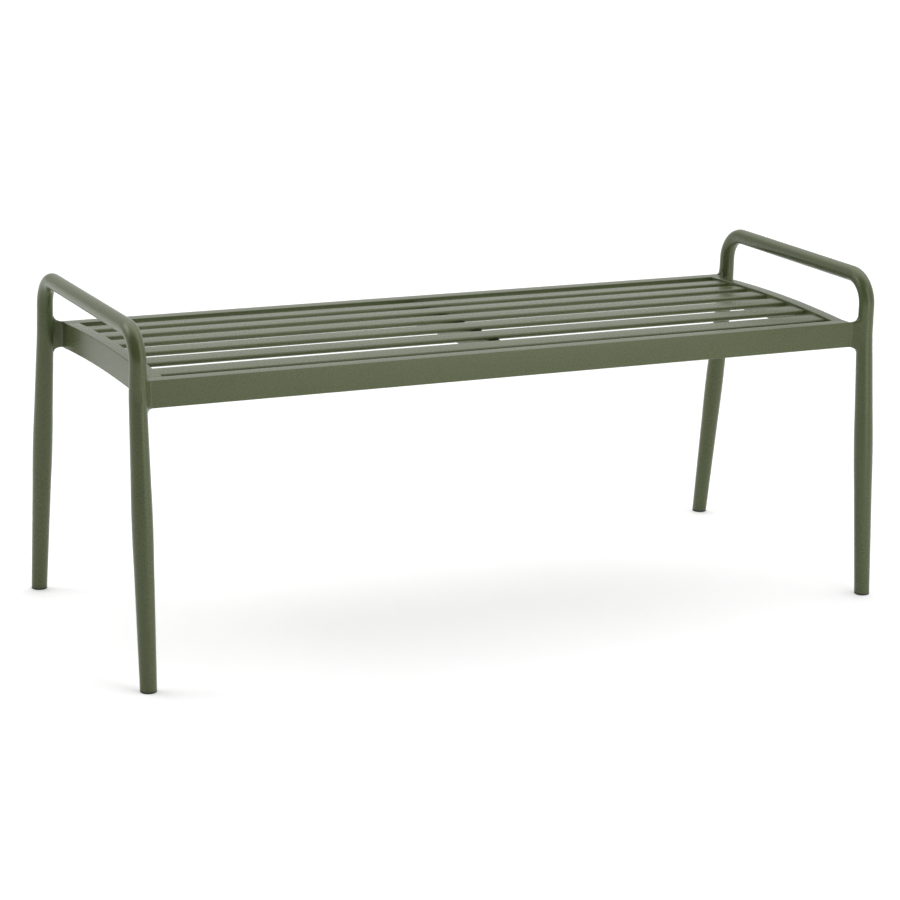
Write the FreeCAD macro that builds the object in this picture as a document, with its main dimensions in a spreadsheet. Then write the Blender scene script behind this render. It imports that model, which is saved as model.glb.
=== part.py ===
"""Backless bench: crowned slatted seat frame carried between two bent-tube end frames.

Origin on the floor under the middle of the seat, +X along the bench, +Y to the rear, +Z up.
"""

import FreeCAD, Part
import itertools
import math
import os

import Sketcher

ALONG_X = FreeCAD.Vector(1, 0, 0)
UPWARD = FreeCAD.Vector(0, 0, 1)

SIZES = {
    "frame_length": 1196,
    "frame_depth": 414,
    "rail_top": 450,
    "rail_tall": 41,
    "rail_width": 21,
    "rail_edge": 1.2,
    "crown_rise": 6,
    "slat_count": 6,
    "slat_width": 34.2,
    "slat_thick": 7.6,
    "slat_edge": 3.4,
    "slat_spread": 300,
    "slat_recess": 3,
    "cross_width": 20,
    "cross_tall": 30,
    "end_plane": 624,
    "post_depth": 212,
    "handle_rise": 522,
    "handle_bend": 46,
    "tube_size": 25,
    "tube_wall": 2.5,
    "weld_rise": 470,
    "belly_size": 31,
    "belly_rise": 245,
    "splay_slope": 0.104,
    "bend_rise": 430,
    "bend_reach": 10,
    "glide_tall": 3,
    "glide_edge": 1,
    "plug_tall": 12,
    "plug_play": 0.1,
    "link_drop": 0.5,
    "link_inset": 0.3,
    "link_flare": 12,
    "link_play": 3,
}

doc = FreeCAD.newDocument("bench")
sheet = doc.addObject("Spreadsheet::Sheet", "Sizes")
for row, (alias, value) in enumerate(SIZES.items(), start=1):
    sheet.set(f"A{row}", alias)
    sheet.set(f"B{row}", str(value))
    sheet.setAlias(f"B{row}", alias)
doc.recompute()

INNER_HALF = "(Sizes.frame_depth / 2 - Sizes.rail_width)"
CROWN_RADIUS = f"(({INNER_HALF}^2 + Sizes.crown_rise^2) / (2 * Sizes.crown_rise))"
SLAT_LENGTH = "Sizes.frame_length - 2 * Sizes.rail_width"
RAIL_DEPTH = "(Sizes.frame_depth / 2 - Sizes.rail_width / 2)"


def bind(obj, **expressions):
    """Bind properties to expressions; a double underscore stands for a dot in the path."""
    for path, expression in expressions.items():
        obj.setExpression(path.replace("__", "."), expression)


def place(obj, east="0", north="0", up="0"):
    """Bind an object's position along +X, +Y and +Z."""
    bind(obj, Placement__Base__x=east, Placement__Base__y=north, Placement__Base__z=up)


def turn(obj, axis, angle):
    """Turn an object about an axis through its own origin by an angle expression in degrees."""
    obj.Placement = FreeCAD.Placement(obj.Placement.Base, FreeCAD.Rotation(axis, 1))
    bind(obj, Placement__Rotation__Angle=angle)


def signed(sign, expression):
    """The expression, on the positive or the negative side."""
    return f"{sign} * ({expression})"


def add_body(label):
    body = doc.addObject("PartDesign::Body", label)
    body.Label = label
    return body


def add_sketch(body, name, role):
    """A sketch on one of the body's own origin planes."""
    sketch = body.newObject("Sketcher::SketchObject", name)
    plane = next(item for item in body.Origin.OriginFeatures if item.Role == role)
    sketch.AttachmentSupport = [(plane, "")]
    sketch.MapMode = "FlatFace"
    return sketch


def join_ends(sketch, count):
    """Join each edge's end to the next edge's start."""
    for edge in range(count):
        sketch.addConstraint(Sketcher.Constraint("Coincident", edge, 2, (edge + 1) % count, 1))


def fix(sketch, name, expression, kind, *where):
    """Add a named dimension that follows the sheet."""
    index = sketch.addConstraint(Sketcher.Constraint(kind, *where))
    sketch.renameConstraint(index, name)
    sketch.setExpression(f"Constraints.{name}", expression)


def read(expression):
    """The number that an expression over the sheet gives now."""
    return float(sheet.evalExpression(expression))


def draw_rectangle(sketch, wide, tall):
    """Rectangle centred on the sketch's origin."""
    half_wide = read(wide) / 2
    half_tall = read(tall) / 2
    signs = [(-1, -1), (1, -1), (1, 1), (-1, 1)]
    corners = [FreeCAD.Vector(x * half_wide, y * half_tall, 0) for x, y in signs]
    for start, end in zip(corners, corners[1:] + corners[:1]):
        sketch.addGeometry(Part.LineSegment(start, end))
    join_ends(sketch, 4)
    for edge, kind in enumerate(["Horizontal", "Vertical", "Horizontal", "Vertical"]):
        sketch.addConstraint(Sketcher.Constraint(kind, edge))
    sketch.addConstraint(Sketcher.Constraint("Symmetric", 0, 1, 2, 1, -1, 1))
    fix(sketch, "wide", wide, "DistanceX", 0, 1, 0, 2, 2 * half_wide)
    fix(sketch, "tall", tall, "DistanceY", 1, 1, 1, 2, 2 * half_tall)


def draw_crowned_bar(sketch, tall):
    """Bar between the rails whose top and bottom are equal arcs; the top arc's ends are at zero."""
    half = read(INNER_HALF)
    drop = read(tall)
    radius = read(CROWN_RADIUS)
    rise = read("Sizes.crown_rise")

    def arc(level):
        points = [(half, level), (0, level + rise), (-half, level)]
        return Part.Arc(*(FreeCAD.Vector(x, y, 0) for x, y in points))

    def side(x, start, end):
        return Part.LineSegment(FreeCAD.Vector(x, start, 0), FreeCAD.Vector(x, end, 0))

    top, left, bottom, right = range(4)
    for edge in (arc(0), side(-half, 0, -drop), arc(-drop), side(half, -drop, 0)):
        sketch.addGeometry(edge)
    joints = [(top, 2, left, 1), (left, 2, bottom, 2), (bottom, 1, right, 1), (right, 2, top, 1)]
    for joint in joints:
        sketch.addConstraint(Sketcher.Constraint("Coincident", *joint))
    sketch.addConstraint(Sketcher.Constraint("Vertical", left))
    sketch.addConstraint(Sketcher.Constraint("Vertical", right))
    sketch.addConstraint(Sketcher.Constraint("Symmetric", top, 1, top, 2, -2))
    sketch.addConstraint(Sketcher.Constraint("PointOnObject", top, 1, -1))
    sketch.addConstraint(Sketcher.Constraint("Equal", top, bottom))
    fix(sketch, "span", f"2 * {INNER_HALF}", "DistanceX", top, 2, top, 1, 2 * half)
    fix(sketch, "crown", CROWN_RADIUS, "Radius", top, radius)
    fix(sketch, "tall", tall, "DistanceY", left, 2, left, 1, drop)


def pad_along_x(body, sketch, length):
    """Pad a YZ sketch by half the length to each side."""
    pad = body.newObject("PartDesign::Pad", "Bar")
    pad.Profile = sketch
    pad.SideType = "Symmetric"
    bind(pad, Length=length)
    doc.recompute()
    return pad


def round_edges(body, base, radius, wanted):
    """Fillet the edges of the base feature that the wanted test picks."""
    fillet = body.newObject("PartDesign::Fillet", "Rounded")
    names = [f"Edge{i}" for i, edge in enumerate(base.Shape.Edges, start=1) if wanted(edge)]
    fillet.Base = (base, names)
    bind(fillet, Radius=radius)
    doc.recompute()
    return fillet


def lies_along_x(edge):
    bounds = edge.BoundBox
    return bounds.XLength > 10 * max(bounds.YLength, bounds.ZLength)


def runs_along_y(edge):
    return edge.BoundBox.YLength > 100


def add_long_rail(label, side):
    """Front or rear rail; side is -1 at the front, 1 at the rear."""
    body = add_body(label)
    sketch = add_sketch(body, "Section", "YZ_Plane")
    draw_rectangle(sketch, "Sizes.rail_width", "Sizes.rail_tall")
    bar = pad_along_x(body, sketch, "Sizes.frame_length")
    round_edges(body, bar, "Sizes.rail_edge", lies_along_x)
    place(body, north=signed(side, RAIL_DEPTH), up="Sizes.rail_top - Sizes.rail_tall / 2")


def add_end_rail(label, side):
    """Crowned rail between the long rails; side is -1 on the left, 1 on the right."""
    body = add_body(label)
    sketch = add_sketch(body, "Outline", "YZ_Plane")
    draw_crowned_bar(sketch, "Sizes.rail_tall")
    bar = pad_along_x(body, sketch, "Sizes.rail_width")
    round_edges(body, bar, "Sizes.rail_edge", runs_along_y)
    place(
        body,
        east=signed(side, "Sizes.frame_length / 2 - Sizes.rail_width / 2"),
        up="Sizes.rail_top",
    )


def add_cross_bar():
    """Crowned bar that backs the slats at mid length."""
    body = add_body("cross_bar")
    sketch = add_sketch(body, "Outline", "YZ_Plane")
    draw_crowned_bar(sketch, "Sizes.cross_tall")
    pad_along_x(body, sketch, "Sizes.cross_width")
    place(body, up="Sizes.rail_top - Sizes.slat_recess - Sizes.slat_thick")


def add_slat(number):
    """One lengthwise slat, tilted to follow the crown; slat 1 is at the rear."""
    body = add_body(f"slat_{number}")
    sketch = add_sketch(body, "Section", "YZ_Plane")
    draw_rectangle(sketch, "Sizes.slat_width", "Sizes.slat_thick")
    bar = pad_along_x(body, sketch, SLAT_LENGTH)
    round_edges(body, bar, "Sizes.slat_edge", lies_along_x)
    share = f"(0.5 - {number - 1} / (Sizes.slat_count - 1))"
    depth = f"Sizes.slat_spread * {share}"
    fall = f"({CROWN_RADIUS} - sqrt({CROWN_RADIUS}^2 - ({depth})^2))"
    turn(body, ALONG_X, f"-asin({depth} / {CROWN_RADIUS})")
    place(
        body,
        north=depth,
        up=f"Sizes.rail_top - Sizes.slat_recess + Sizes.crown_rise - {fall} - Sizes.slat_thick / 2",
    )


def add_handle(label, side):
    """Inverted U of round tube over one end of the seat."""
    body = add_body(label)
    spine = add_sketch(body, "Path", "YZ_Plane")
    half = read("Sizes.post_depth")
    top = read("Sizes.handle_rise - Sizes.weld_rise")
    bend = read("Sizes.handle_bend")
    shoulder = top - bend
    diagonal = bend * math.sqrt(0.5)

    def at(y, z):
        return FreeCAD.Vector(y, z, 0)

    middle_y = half - bend + diagonal
    middle_z = shoulder + diagonal
    edges = [
        Part.LineSegment(at(-half, 0), at(-half, shoulder)),
        Part.Arc(at(-half, shoulder), at(-middle_y, middle_z), at(-half + bend, top)),
        Part.LineSegment(at(-half + bend, top), at(half - bend, top)),
        Part.Arc(at(half - bend, top), at(middle_y, middle_z), at(half, shoulder)),
        Part.LineSegment(at(half, shoulder), at(half, 0)),
    ]
    for edge in edges:
        spine.addGeometry(edge)
    left_post, left_bend, grip, right_bend, right_post = range(5)
    # An arc drawn through three points runs counter-clockwise, so its start is its lower-right end.
    spine.addConstraint(Sketcher.Constraint("Tangent", left_post, 2, left_bend, 2))
    spine.addConstraint(Sketcher.Constraint("Tangent", left_bend, 1, grip, 1))
    spine.addConstraint(Sketcher.Constraint("Tangent", grip, 2, right_bend, 2))
    spine.addConstraint(Sketcher.Constraint("Tangent", right_bend, 1, right_post, 1))
    spine.addConstraint(Sketcher.Constraint("Vertical", left_post))
    spine.addConstraint(Sketcher.Constraint("Horizontal", grip))
    spine.addConstraint(Sketcher.Constraint("Symmetric", left_post, 1, right_post, 2, -2))
    spine.addConstraint(Sketcher.Constraint("PointOnObject", left_post, 1, -1))
    spine.addConstraint(Sketcher.Constraint("Equal", left_bend, right_bend))
    fix(spine, "span", "2 * Sizes.post_depth", "DistanceX", left_post, 1, right_post, 2, 2 * half)
    fix(spine, "bend", "Sizes.handle_bend", "Radius", left_bend, bend)
    fix(spine, "rise", "Sizes.handle_rise - Sizes.weld_rise", "DistanceY", left_post, 1, grip, 1, top)

    ring = add_sketch(body, "Ring", "XY_Plane")
    bind(ring, AttachmentOffset__Base__y="-Sizes.post_depth")
    rings = [("outer", "Sizes.tube_size / 2"), ("inner", "Sizes.tube_size / 2 - Sizes.tube_wall")]
    for index, (name, radius) in enumerate(rings):
        ring.addGeometry(Part.Circle(FreeCAD.Vector(0, 0, 0), UPWARD, read(radius)))
        ring.addConstraint(Sketcher.Constraint("Coincident", index, 3, -1, 1))
        fix(ring, name, radius, "Radius", index, read(radius))
    doc.recompute()
    tube = body.newObject("PartDesign::AdditivePipe", "Tube")
    tube.Profile = ring
    tube.Spine = spine
    place(body, east=signed(side, "Sizes.end_plane"), up="Sizes.weld_rise")


def leg_depth(rise):
    """Distance of the leg's axis from mid depth at a height on its straight, splayed part."""
    return f"(Sizes.post_depth + (Sizes.bend_rise - ({rise})) * Sizes.splay_slope)"


# Growth of the leg's diameter for each millimetre towards the belly.
SWELL_BELOW = "(Sizes.belly_size - Sizes.tube_size) / (Sizes.belly_rise - Sizes.glide_tall)"
SWELL_ABOVE = "(Sizes.belly_size - Sizes.tube_size) / (Sizes.weld_rise - Sizes.belly_rise)"


def leg_size(rise):
    """Diameter of the leg: largest at the belly, tube size at the floor and at the weld."""
    if read(rise) <= read("Sizes.belly_rise"):
        return f"(Sizes.tube_size + (({rise}) - Sizes.glide_tall) * {SWELL_BELOW})"
    return f"(Sizes.tube_size + (Sizes.weld_rise - ({rise})) * {SWELL_ABOVE})"


BEND_FOOT = "(Sizes.bend_rise - Sizes.bend_reach)"
BEND_HEAD = "(Sizes.bend_rise + Sizes.bend_reach)"
BEND_MIDDLE_DEPTH = "(Sizes.post_depth + Sizes.bend_reach * Sizes.splay_slope / 4)"
# From the floor up: height, and distance of the axis from mid depth.
LEG_STATIONS = [
    ("Sizes.glide_tall", leg_depth("Sizes.glide_tall")),
    ("Sizes.belly_rise", leg_depth("Sizes.belly_rise")),
    (BEND_FOOT, leg_depth(BEND_FOOT)),
    ("Sizes.bend_rise", BEND_MIDDLE_DEPTH),
    (BEND_HEAD, "Sizes.post_depth"),
    ("Sizes.weld_rise", "Sizes.post_depth"),
]


def add_loft(label, east, north, stations):
    """Round bar lofted through level circles; each station is a height, a depth and a radius."""
    circles = []
    for number, (rise, depth, radius) in enumerate(stations, start=1):
        circle = doc.addObject("Part::Circle", f"{label}_ring_{number}")
        bind(circle, Radius=radius)
        place(circle, east=signed(east, "Sizes.end_plane"), north=signed(north, depth), up=rise)
        circles.append(circle)
    loft = doc.addObject("Part::Loft", label)
    loft.Sections = circles
    loft.Solid = True
    loft.Ruled = True
    return loft


def add_cut(label, base, tool):
    cut = doc.addObject("Part::Cut", label)
    cut.Label = label
    cut.Base = base
    cut.Tool = tool
    return cut


def add_leg(label, east, north):
    """Spindle tube; returns its solid outer form, which the link is coped against."""
    outer = [(rise, depth, f"{leg_size(rise)} / 2") for rise, depth in LEG_STATIONS]
    bore = [(rise, depth, f"{radius} - Sizes.tube_wall") for rise, depth, radius in outer]
    outer_form = add_loft(f"{label}_outer", east, north, outer)
    bore_form = add_loft(f"{label}_bore", east, north, bore)
    add_cut(label, outer_form, bore_form)
    return outer_form


def add_link(label, east, north, leg_form):
    """Block from a long rail's end to a leg, flared towards the leg and coped round it."""
    flare = doc.addObject("Part::Wedge", f"{label}_flare")
    rail_half = "(Sizes.rail_width / 2 - Sizes.link_inset)"
    leg_half = "(Sizes.tube_size / 2 - Sizes.link_play)"
    shift = signed(-east * north, f"Sizes.post_depth - {RAIL_DEPTH}")
    bind(
        flare,
        Xmin=f"-{rail_half}",
        Xmax=rail_half,
        X2min=f"{shift} - {leg_half}",
        X2max=f"{shift} + {leg_half}",
        Ymin="0",
        Ymax="Sizes.end_plane - Sizes.frame_length / 2",
        Zmin="Sizes.link_drop - Sizes.rail_tall",
        Zmax="-Sizes.link_drop",
        Z2min="-Sizes.rail_tall - Sizes.link_flare",
        Z2max="Sizes.link_flare",
    )
    turn(flare, UPWARD, f"{-90 * east}")
    place(
        flare,
        east=signed(east, "Sizes.frame_length / 2"),
        north=signed(north, RAIL_DEPTH),
        up="Sizes.rail_top",
    )
    add_cut(label, flare, leg_form)


def add_glide(label, east, north):
    """Round foot with a plug that fills the lower end of the leg's bore."""
    pad_body = add_body(f"{label}_pad")
    sketch = add_sketch(pad_body, "Outline", "XY_Plane")
    radius = "Sizes.tube_size / 2"
    sketch.addGeometry(Part.Circle(FreeCAD.Vector(0, 0, 0), UPWARD, read(radius)))
    sketch.addConstraint(Sketcher.Constraint("Coincident", 0, 3, -1, 1))
    fix(sketch, "outer", radius, "Radius", 0, read(radius))
    pad = pad_body.newObject("PartDesign::Pad", "Pad")
    pad.Profile = sketch
    bind(pad, Length="Sizes.glide_tall")
    doc.recompute()
    round_edges(pad_body, pad, "Sizes.glide_edge", lambda edge: edge.BoundBox.ZMax < 0.001)
    place(
        pad_body,
        east=signed(east, "Sizes.end_plane"),
        north=signed(north, leg_depth("Sizes.glide_tall")),
    )
    plug_top = "(Sizes.glide_tall + Sizes.plug_tall)"
    stations = [
        (rise, leg_depth(rise), f"{leg_size(rise)} / 2 - Sizes.tube_wall - Sizes.plug_play")
        for rise in ("Sizes.glide_tall", plug_top)
    ]
    plug = add_loft(f"{label}_plug", east, north, stations)
    glide = doc.addObject("Part::Fuse", label)
    glide.Label = label
    glide.Base = pad_body
    glide.Tool = plug


SIDES = {"left": -1, "right": 1}
DEPTHS = {"front": -1, "rear": 1}

for name, north in DEPTHS.items():
    add_long_rail(f"{name}_rail", north)
for name, east in SIDES.items():
    add_end_rail(f"{name}_rail", east)
    add_handle(f"{name}_handle", east)
for number in range(1, int(sheet.slat_count) + 1):
    add_slat(number)
add_cross_bar()
for (depth_name, north), (side_name, east) in itertools.product(DEPTHS.items(), SIDES.items()):
    corner = f"{depth_name}_{side_name}"
    form = add_leg(f"{corner}_leg", east, north)
    add_link(f"{corner}_link", east, north, form)
    add_glide(f"{corner}_glide", east, north)
doc.recompute()

NODES = ["front_rail", "rear_rail", "left_rail", "right_rail", "cross_bar"]
NODES += ["left_handle", "right_handle"]
NODES += [f"slat_{number}" for number in range(1, int(sheet.slat_count) + 1)]
for depth_name, side_name, kind in itertools.product(DEPTHS, SIDES, ["leg", "link", "glide"]):
    NODES.append(f"{depth_name}_{side_name}_{kind}")

for item in doc.Objects:
    if {"Invalid", "Error"} & set(item.State):
        raise RuntimeError(f"{item.Label} did not recompute: {item.State}")

os.makedirs("parts", exist_ok=True)
for node in NODES:
    shape = doc.getObjectsByLabel(node)[0].Shape
    if shape.isNull() or not shape.isValid() or not shape.Solids:
        raise RuntimeError(f"{node} has no valid solid")
    shape.exportStep(f"parts/{node}.step")
    print(node, len(shape.Solids), round(shape.Volume))
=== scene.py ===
"""Looks of the backless bench: smooth spindle tubes, welded links and a satin powder coat."""

import math

import bmesh
import bpy
from mathutils import Matrix, Vector


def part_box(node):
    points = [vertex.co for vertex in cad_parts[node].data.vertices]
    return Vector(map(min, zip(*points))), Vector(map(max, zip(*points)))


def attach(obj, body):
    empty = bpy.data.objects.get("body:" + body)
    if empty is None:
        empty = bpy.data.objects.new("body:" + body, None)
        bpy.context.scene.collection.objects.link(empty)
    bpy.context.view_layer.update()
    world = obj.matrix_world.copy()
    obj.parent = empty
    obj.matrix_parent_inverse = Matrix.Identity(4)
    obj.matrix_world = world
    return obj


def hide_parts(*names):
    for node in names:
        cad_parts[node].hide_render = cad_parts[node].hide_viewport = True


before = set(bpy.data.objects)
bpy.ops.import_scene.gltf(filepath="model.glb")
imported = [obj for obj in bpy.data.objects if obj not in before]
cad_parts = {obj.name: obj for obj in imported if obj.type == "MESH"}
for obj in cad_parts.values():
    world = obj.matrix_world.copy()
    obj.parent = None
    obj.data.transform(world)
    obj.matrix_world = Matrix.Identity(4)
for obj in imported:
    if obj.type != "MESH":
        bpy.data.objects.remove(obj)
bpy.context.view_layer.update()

SIDES = {"left": -1, "right": 1}
DEPTHS = {"front": -1, "rear": 1}
SLATS = [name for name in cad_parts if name.startswith("slat_")]
EAST = Vector((1, 0, 0))
NORTH = Vector((0, 1, 0))

# Shape, in metres as in the CAD model; ring counts
CROWN_RISE = 0.006
SLAT_WIDTH = 0.0342
SLAT_THICK = 0.0076
SLAT_EDGE = 0.0034
RAIL_EDGE = 0.0012
HANDLE_BEND = 0.046
BEND_RISE = 0.430
BEND_REACH = 0.010
BELLY_RISE = 0.245
BELLY_EASE = 0.060
TUBE_SIDES = 64
LEG_STATIONS = 90
BEND_STATIONS = 24
WELD_STATIONS = 40
BAR_STATIONS = 24
SHARP_ANGLE = math.radians(35)

# Weld between a rail's end and a leg, in metres; a rounded edge takes at most EDGE_SHARE of its width
WELD_REACH = 0.0130
WELD_RISE = 0.0085
WELD_EDGE = 0.0045
EDGE_SHARE = 0.45
WELD_SKIN = 0.0002
FACE_FROM = 0.002
FACE_TOUCH = 0.006
FACE_SINK = 0.0003
BACK_START = 0.0155
BACK_REACH = 0.0155
RISE_FULL = 0.006
RISE_FADE = 0.010

# Coat and plastic: colours in linear light, noise scales per metre
COAT_DARK = (0.060, 0.076, 0.031, 1.0)
COAT_LIGHT = (0.067, 0.085, 0.035, 1.0)
COAT_SHINE = (1.0, 1.0, 0.80, 1.0)
COAT_ROUGHNESS = (0.26, 0.30)
COAT_IOR = 1.5
CLOUD_SCALE = 9.0
GRAIN_SCALE = 900.0
GRAIN_SHARE = 0.4
PEEL_SCALE = 420.0
PEEL_STRENGTH = 0.10
PEEL_DEPTH = 0.0004
PLASTIC_DARK = (0.010, 0.010, 0.010, 1.0)
PLASTIC_LIGHT = (0.030, 0.030, 0.028, 1.0)
PLASTIC_ROUGHNESS = (0.5, 0.65)
SCUFF_SCALE = 180.0
SCUFF_STRENGTH = 0.2
SCUFF_DEPTH = 0.0003

# Studio: the sky's dim side and bright top, the soft boxes, the floor
DIM_SIDE = (-0.55, -0.82, 0.15)
DIM_FROM = 0.0
DIM_FULL = 0.60
SKY_BRIGHT = 0.82
SKY_DIM = 0.03
SKY_SEEN = 1.06
TOP_FROM = 0.35
TOP_FULL = 0.90
TOP_SHARE = 2.80
SEAT_MIDDLE = (0.0, 0.0, 0.40)
FRONT_BOX = {"place": (0.65, -1.70, 1.10), "wide": 1.2, "tall": 2.0, "power": 13.0}
SIDE_BOX = {"place": (-1.9, 0.9, 1.8), "wide": 1.2, "tall": 1.2, "power": 10.0}
FLOOR_REACH = 60.0
FLOOR_TONE = (0.8, 0.8, 0.8, 1.0)
GLOW_NEAR = 0.20
GLOW_FAR = 0.30
GLOW_FROM = 1.0
GLOW_FULL = 4.0

# Camera, in metres and degrees
CAMERA_PLACE = (-1.8558, -3.6448, 1.3501)
CAMERA_YAW = 26.762
CAMERA_PITCH = 15.213
CAMERA_ROLL = 1.780
CAMERA_LENS = 105.12
SENSOR = 36.0


# ---------------------------------------------------------------- meshes


def corners(node):
    """Lowest and highest corner of a CAD node, as vectors."""
    low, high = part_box(node)
    return Vector(low), Vector(high)


def new_object(name, mesh):
    piece = bpy.data.objects.new(name, mesh)
    bpy.context.scene.collection.objects.link(piece)
    return piece


def mesh_from_rings(name, rings):
    """Closed skin over equal rings of points, with flat ends."""
    count = len(rings[0])
    points = [tuple(point) for ring in rings for point in ring]
    faces = []
    for station in range(len(rings) - 1):
        base = station * count
        for side in range(count):
            after = (side + 1) % count
            faces.append((base + side, base + after, base + count + after, base + count + side))
    faces.append(tuple(reversed(range(count))))
    last = (len(rings) - 1) * count
    faces.append(tuple(range(last, last + count)))
    mesh = bpy.data.meshes.new(name)
    mesh.from_pydata(points, [], faces)
    work = bmesh.new()
    work.from_mesh(mesh)
    bmesh.ops.recalc_face_normals(work, faces=work.faces)
    work.to_mesh(mesh)
    work.free()
    for face in mesh.polygons:
        face.use_smooth = True
    mesh.set_sharp_from_angle(angle=SHARP_ANGLE)
    return mesh


def circle(centre, across, along, radius):
    """Ring of points round a centre, in the plane of two unit vectors."""
    angles = [2 * math.pi * step / TUBE_SIDES for step in range(TUBE_SIDES)]
    return [centre + radius * (math.cos(turn) * across + math.sin(turn) * along) for turn in angles]


def rounded_section(low, high, radius, steps=8):
    """Outline of a rectangle with rounded corners, as pairs of numbers."""
    outline = []
    centres = [
        (high[0] - radius, high[1] - radius),
        (low[0] + radius, high[1] - radius),
        (low[0] + radius, low[1] + radius),
        (high[0] - radius, low[1] + radius),
    ]
    for quarter, (across, along) in enumerate(centres):
        for step in range(steps + 1):
            angle = math.pi / 2 * (quarter + step / steps)
            outline.append((across + radius * math.cos(angle), along + radius * math.sin(angle)))
    return outline


def finish_piece(name, rings, *nodes):
    """Make a coated piece from rings, in place of CAD nodes."""
    piece = new_object(name, mesh_from_rings(name, rings))
    piece.data.materials.append(COAT)
    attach(piece, "root")
    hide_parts(*nodes)


# ---------------------------------------------------------------- materials


def new_material(name):
    material = bpy.data.materials.new(name)
    material.use_nodes = True
    nodes = material.node_tree.nodes
    return material, nodes, material.node_tree.links, nodes["Principled BSDF"]


def noise(nodes, links, place, scale, detail=3.0):
    texture = nodes.new("ShaderNodeTexNoise")
    texture.inputs["Scale"].default_value = scale
    texture.inputs["Detail"].default_value = detail
    links.new(place, texture.inputs["Vector"])
    return texture.outputs["Fac"]


def ease(nodes, links, value, start, end, first, last):
    """Go smoothly from first to last as the value goes from start to end."""
    shade = nodes.new("ShaderNodeMapRange")
    shade.interpolation_type = "SMOOTHSTEP"
    shade.inputs["From Min"].default_value = start
    shade.inputs["From Max"].default_value = end
    shade.inputs["To Min"].default_value = first
    shade.inputs["To Max"].default_value = last
    links.new(value, shade.inputs["Value"])
    return shade.outputs["Result"]


def spread(nodes, links, value, low, high):
    """Map a noise value's middle range to low..high."""
    return ease(nodes, links, value, 0.3, 0.7, low, high)


def blend_colours(nodes, links, factor, first, second):
    colour = nodes.new("ShaderNodeMix")
    colour.data_type = "RGBA"
    colour.inputs["A"].default_value = first
    colour.inputs["B"].default_value = second
    links.new(factor, colour.inputs["Factor"])
    return colour.outputs["Result"]


def bump(nodes, links, height, strength, distance):
    node = nodes.new("ShaderNodeBump")
    node.inputs["Strength"].default_value = strength
    node.inputs["Distance"].default_value = distance
    links.new(height, node.inputs["Height"])
    return node.outputs["Normal"]


def powder_coat():
    """Satin powder coat: fine orange peel, faint clouding of colour, finely grained gloss."""
    material, nodes, links, shader = new_material("powder_coat")
    place = nodes.new("ShaderNodeTexCoord").outputs["Object"]
    clouds = noise(nodes, links, place, CLOUD_SCALE)
    grain = noise(nodes, links, place, GRAIN_SCALE, detail=2.0)
    mixed = nodes.new("ShaderNodeMix")
    mixed.inputs["Factor"].default_value = GRAIN_SHARE
    links.new(clouds, mixed.inputs["A"])
    links.new(grain, mixed.inputs["B"])
    tone = spread(nodes, links, mixed.outputs["Result"], 0.0, 1.0)
    links.new(blend_colours(nodes, links, tone, COAT_DARK, COAT_LIGHT), shader.inputs["Base Color"])
    links.new(spread(nodes, links, grain, *COAT_ROUGHNESS), shader.inputs["Roughness"])
    peel = noise(nodes, links, place, PEEL_SCALE, detail=2.0)
    links.new(bump(nodes, links, peel, PEEL_STRENGTH, PEEL_DEPTH), shader.inputs["Normal"])
    shader.inputs["IOR"].default_value = COAT_IOR
    shader.inputs["Specular Tint"].default_value = COAT_SHINE
    return material


def glide_plastic():
    """Matt black moulded plastic, scuffed."""
    material, nodes, links, shader = new_material("glide_plastic")
    place = nodes.new("ShaderNodeTexCoord").outputs["Object"]
    scuffs = noise(nodes, links, place, SCUFF_SCALE)
    tone = spread(nodes, links, scuffs, 0.0, 1.0)
    links.new(blend_colours(nodes, links, tone, PLASTIC_DARK, PLASTIC_LIGHT), shader.inputs["Base Color"])
    links.new(spread(nodes, links, scuffs, *PLASTIC_ROUGHNESS), shader.inputs["Roughness"])
    links.new(bump(nodes, links, scuffs, SCUFF_STRENGTH, SCUFF_DEPTH), shader.inputs["Normal"])
    return material


# ---------------------------------------------------------------- end frames


def leg_axis(rise, post, slope):
    """Distance of a leg's axis from mid depth: splayed, then upright above a short bend."""
    below = BEND_RISE - rise
    if below >= BEND_REACH:
        return post + below * slope
    if below <= -BEND_REACH:
        return post
    return post + slope * (below + BEND_REACH) ** 2 / (4 * BEND_REACH)


def leg_radius(rise, foot, top, slim, belly):
    """Spindle: swells evenly from foot to belly and back, with the peak eased."""
    height = abs(rise - BELLY_RISE)
    reach = BELLY_RISE - foot if rise < BELLY_RISE else top - BELLY_RISE
    if height < BELLY_EASE:
        height = height * height / BELLY_EASE
    return belly + (slim - belly) * height / reach


def leg_form(name, handle):
    """Function from a height to the depth of the leg's axis and its radius there."""
    low, high = corners(name)
    handle_low, handle_high = corners(handle)
    slim = (handle_high.x - handle_low.x) / 2
    belly = (high.x - low.x) / 2
    post = handle_high.y - slim
    far = max(abs(low.y), abs(high.y))
    slope = (far - slim - post) / (BEND_RISE - low.z)

    def form(rise):
        return leg_axis(rise, post, slope), leg_radius(rise, low.z, high.z, slim, belly)

    return form


def build_leg(name, north, form):
    low, high = corners(name)
    centre = (low.x + high.x) / 2
    rings = []
    for step in range(LEG_STATIONS + 1):
        rise = low.z + (high.z - low.z) * step / LEG_STATIONS
        depth, radius = form(rise)
        rings.append(circle(Vector((centre, north * depth, rise)), EAST, NORTH, radius))
    finish_piece(f"{name}_tube", rings, name)


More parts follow.
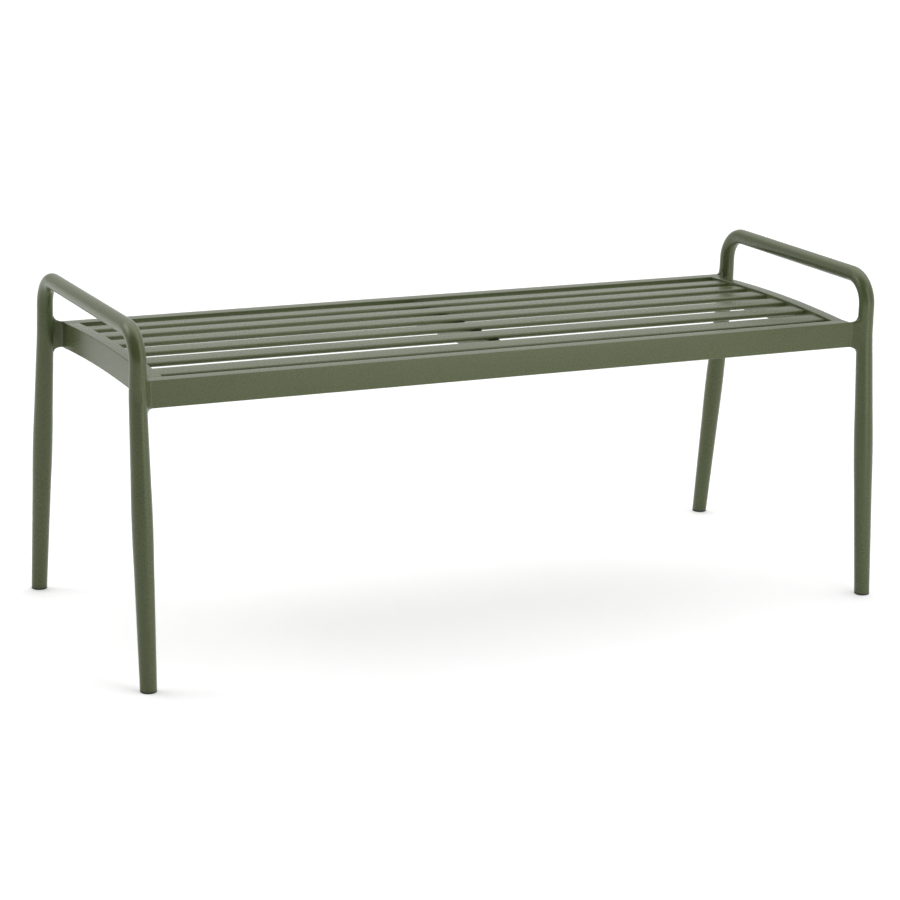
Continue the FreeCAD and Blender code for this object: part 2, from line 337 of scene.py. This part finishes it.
def build_handle(name):
    low, high = corners(name)
    radius = (high.x - low.x) / 2
    centre = (low.x + high.x) / 2
    post = high.y - radius
    shoulder = high.z - radius - HANDLE_BEND
    grip = post - HANDLE_BEND
    path = [(post, low.z, 0.0)]
    for step in range(BEND_STATIONS + 1):
        angle = math.pi / 2 * step / BEND_STATIONS
        reach = grip + HANDLE_BEND * math.cos(angle)
        path.append((reach, shoulder + HANDLE_BEND * math.sin(angle), angle))
    far_side = [(-y, z, math.pi - angle) for y, z, angle in reversed(path)]
    rings = []
    for y, z, angle in path + far_side:
        outward = Vector((0, math.cos(angle), math.sin(angle)))
        rings.append(circle(Vector((centre, y, z)), EAST, outward, radius))
    finish_piece(f"{name}_tube", rings, name)


def fillet_rise(distance):
    """Rise of the weld's concave fillet at a distance from the rail's end."""
    share = min(distance / WELD_REACH, 1.0)
    return WELD_RISE * (1 - math.sqrt(1 - share**2))


def weld_face(distance, outer, axis, depth, radius):
    """Depth of the weld's outward face: leaves the rail evenly and runs on to the leg."""
    touch = axis - FACE_TOUCH
    if distance > touch:
        return depth + math.sqrt(radius**2 - (axis - distance) ** 2) - FACE_SINK
    side = math.sqrt(radius**2 - FACE_TOUCH**2)
    end = depth + side - FACE_SINK
    share = max(distance - FACE_FROM, 0.0) / (touch - FACE_FROM)
    lean = FACE_TOUCH / side * (touch - FACE_FROM)
    return outer + (end - outer) * share**2 * (3 - 2 * share) + lean * (share**3 - share**2)


def weld_back(distance, inner, axis, depth, radius):
    """Depth of the weld's inward face: a concave fillet from the rail's end to the leg."""
    if distance == 0:
        return inner
    end = depth - math.sqrt(radius**2 - (axis - BACK_REACH) ** 2) + FACE_SINK
    start = inner + BACK_START
    share = min(distance / BACK_REACH, 1.0)
    return start + (end - start) * math.sqrt(1 - (1 - share) ** 2)


def build_link(name, east, north, rail, axis, form):
    """Rail end that swells into a filled weld round the leg."""
    low, high = corners(rail)
    link_low, link_high = corners(name)
    inner, outer = sorted((abs(low.y), abs(high.y)))
    reach = link_high.x - link_low.x
    middle = (low.z + high.z) / 2
    half = (high.z - low.z) / 2
    post = form(high.z)[0]
    shares = [step / WELD_STATIONS for step in range(WELD_STATIONS + 1)]
    rings = []
    for distance in [0.0] + [WELD_SKIN + (reach - WELD_SKIN) * share for share in shares]:
        back = weld_back(distance, inner, axis, *form(middle))
        face = weld_face(distance, outer, axis, *form(middle))
        edge = RAIL_EDGE + (WELD_EDGE - RAIL_EDGE) * min(distance / WELD_REACH, 1.0)
        edge = min(edge, EDGE_SHARE * (face - back))
        points = []
        for y, z in rounded_section((back, low.z), (face, high.z), edge):
            share = min(max(1 - (post - RISE_FULL - y) / RISE_FADE, 0.0), 1.0)
            rise = z + fillet_rise(distance) * share * (z - middle) / half
            near = weld_back(distance, inner, axis, *form(rise))
            far = weld_face(distance, outer, axis, *form(rise))
            depth = near + (far - near) * (y - back) / (face - back)
            points.append(Vector((east * (high.x + distance), north * depth, rise)))
        rings.append(points)
    finish_piece(f"{name}_weld", rings, name)


# ---------------------------------------------------------------- seat


def crown(depth, inner):
    """Rise of the crowned line above its ends at a depth."""
    radius = (inner**2 + CROWN_RISE**2) / (2 * CROWN_RISE)
    return CROWN_RISE - radius + math.sqrt(radius**2 - depth**2)


def build_long_rail(name):
    low, high = corners(name)
    outline = rounded_section((low.y, low.z), (high.y, high.z), RAIL_EDGE)
    rings = [[Vector((x, y, z)) for y, z in outline] for x in (low.x, high.x)]
    finish_piece(f"{name}_bar", rings, name)


def build_crowned_bar(name):
    """Bar between the long rails, arched to the crown of the seat."""
    low, high = corners(name)
    inner = high.y
    tall = high.z - low.z - CROWN_RISE
    rings = []
    for step in range(BAR_STATIONS + 1):
        depth = inner * (2 * step / BAR_STATIONS - 1)
        base = low.z + crown(depth, inner)
        outline = rounded_section((low.x, base), (high.x, base + tall), RAIL_EDGE)
        rings.append([Vector((x, depth, z)) for x, z in outline])
    finish_piece(f"{name}_bar", rings, name)


def build_slat(name, inner):
    """Flat slat with full-round edges, tilted to follow the crown."""
    low, high = corners(name)
    middle = (low + high) / 2
    radius = (inner**2 + CROWN_RISE**2) / (2 * CROWN_RISE)
    tilt = Matrix.Rotation(-math.asin(middle.y / radius), 3, "X")
    half = (SLAT_WIDTH / 2, SLAT_THICK / 2)
    outline = rounded_section((-half[0], -half[1]), half, SLAT_EDGE)
    rings = []
    for x in (low.x, high.x):
        centre = Vector((x, middle.y, middle.z))
        rings.append([centre + tilt @ Vector((0, y, z)) for y, z in outline])
    finish_piece(f"{name}_bar", rings, name)


COAT = powder_coat()
PLASTIC = glide_plastic()

for side_name, east in SIDES.items():
    handle = f"{side_name}_handle"
    build_handle(handle)
    handle_low, handle_high = corners(handle)
    axis = abs(handle_low.x + handle_high.x) / 2 - corners("front_rail")[1].x
    build_crowned_bar(f"{side_name}_rail")
    for depth_name, north in DEPTHS.items():
        corner = f"{depth_name}_{side_name}"
        form = leg_form(f"{corner}_leg", handle)
        build_leg(f"{corner}_leg", north, form)
        build_link(f"{corner}_link", east, north, f"{depth_name}_rail", axis, form)
        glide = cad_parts[f"{corner}_glide"]
        glide.data.materials.clear()
        glide.data.materials.append(PLASTIC)
for depth_name in DEPTHS:
    build_long_rail(f"{depth_name}_rail")
build_crowned_bar("cross_bar")
for slat in SLATS:
    build_slat(slat, corners("left_rail")[1].y)


# ---------------------------------------------------------------- studio


def build_floor():
    mesh = bpy.data.meshes.new("floor")
    flat = [(-1, -1), (1, -1), (1, 1), (-1, 1)]
    mesh.from_pydata([(x * FLOOR_REACH, y * FLOOR_REACH, 0) for x, y in flat], [], [(0, 1, 2, 3)])
    material, nodes, links, shader = new_material("floor_paint")
    shader.inputs["Base Color"].default_value = FLOOR_TONE
    shader.inputs["Roughness"].default_value = 0.9
    shader.inputs["Emission Color"].default_value = (1.0, 1.0, 1.0, 1.0)
    span = nodes.new("ShaderNodeVectorMath")
    span.operation = "LENGTH"
    links.new(nodes.new("ShaderNodeTexCoord").outputs["Object"], span.inputs[0])
    glow = ease(nodes, links, span.outputs["Value"], GLOW_FROM, GLOW_FULL, GLOW_NEAR, GLOW_FAR)
    links.new(glow, shader.inputs["Emission Strength"])
    mesh.materials.append(material)
    new_object("floor", mesh)


def build_sky():
    """Surround that looks white, and lights the bench mostly from overhead and least from one side."""
    world = bpy.data.worlds.new("studio")
    bpy.context.scene.world = world
    world.use_nodes = True
    nodes = world.node_tree.nodes
    links = world.node_tree.links
    place = nodes.new("ShaderNodeTexCoord").outputs["Generated"]
    facing = nodes.new("ShaderNodeVectorMath")
    facing.operation = "DOT_PRODUCT"
    links.new(place, facing.inputs[0])
    facing.inputs[1].default_value = DIM_SIDE
    sides = ease(nodes, links, facing.outputs["Value"], DIM_FROM, DIM_FULL, SKY_BRIGHT, SKY_DIM)
    axes = nodes.new("ShaderNodeSeparateXYZ")
    links.new(place, axes.inputs["Vector"])
    top = ease(nodes, links, axes.outputs["Z"], TOP_FROM, TOP_FULL, 1.0, TOP_SHARE)
    strength = nodes.new("ShaderNodeMath")
    strength.operation = "MULTIPLY"
    links.new(sides, strength.inputs[0])
    links.new(top, strength.inputs[1])
    seen = nodes.new("ShaderNodeMix")
    links.new(nodes.new("ShaderNodeLightPath").outputs["Is Camera Ray"], seen.inputs["Factor"])
    links.new(strength.outputs["Value"], seen.inputs["A"])
    seen.inputs["B"].default_value = SKY_SEEN
    links.new(seen.outputs["Result"], nodes["Background"].inputs["Strength"])
    nodes["Background"].inputs["Color"].default_value = (1.0, 1.0, 1.0, 1.0)


def build_soft_box(name, place, wide, tall, power):
    lamp = bpy.data.lights.new(name, "AREA")
    lamp.shape = "RECTANGLE"
    lamp.size = wide
    lamp.size_y = tall
    lamp.energy = power
    holder = bpy.data.objects.new(name, lamp)
    bpy.context.scene.collection.objects.link(holder)
    holder.location = place
    aim = Vector(SEAT_MIDDLE) - Vector(place)
    holder.rotation_euler = aim.to_track_quat("-Z", "Y").to_euler()
    holder.visible_camera = False


def build_camera():
    camera = bpy.data.cameras.new("camera")
    camera.lens = CAMERA_LENS
    camera.sensor_width = SENSOR
    holder = bpy.data.objects.new("camera", camera)
    bpy.context.scene.collection.objects.link(holder)
    turn = Matrix.Rotation(math.radians(-CAMERA_YAW), 4, "Z")
    tilt = Matrix.Rotation(math.radians(90 - CAMERA_PITCH), 4, "X")
    roll = Matrix.Rotation(math.radians(CAMERA_ROLL), 4, "Z")
    holder.matrix_world = Matrix.Translation(CAMERA_PLACE) @ turn @ tilt @ roll
    bpy.context.scene.camera = holder


build_floor()
build_sky()
build_soft_box("front_box", **FRONT_BOX)
build_soft_box("side_box", **SIDE_BOX)
build_camera()
bpy.context.scene.view_settings.view_transform = "Standard"
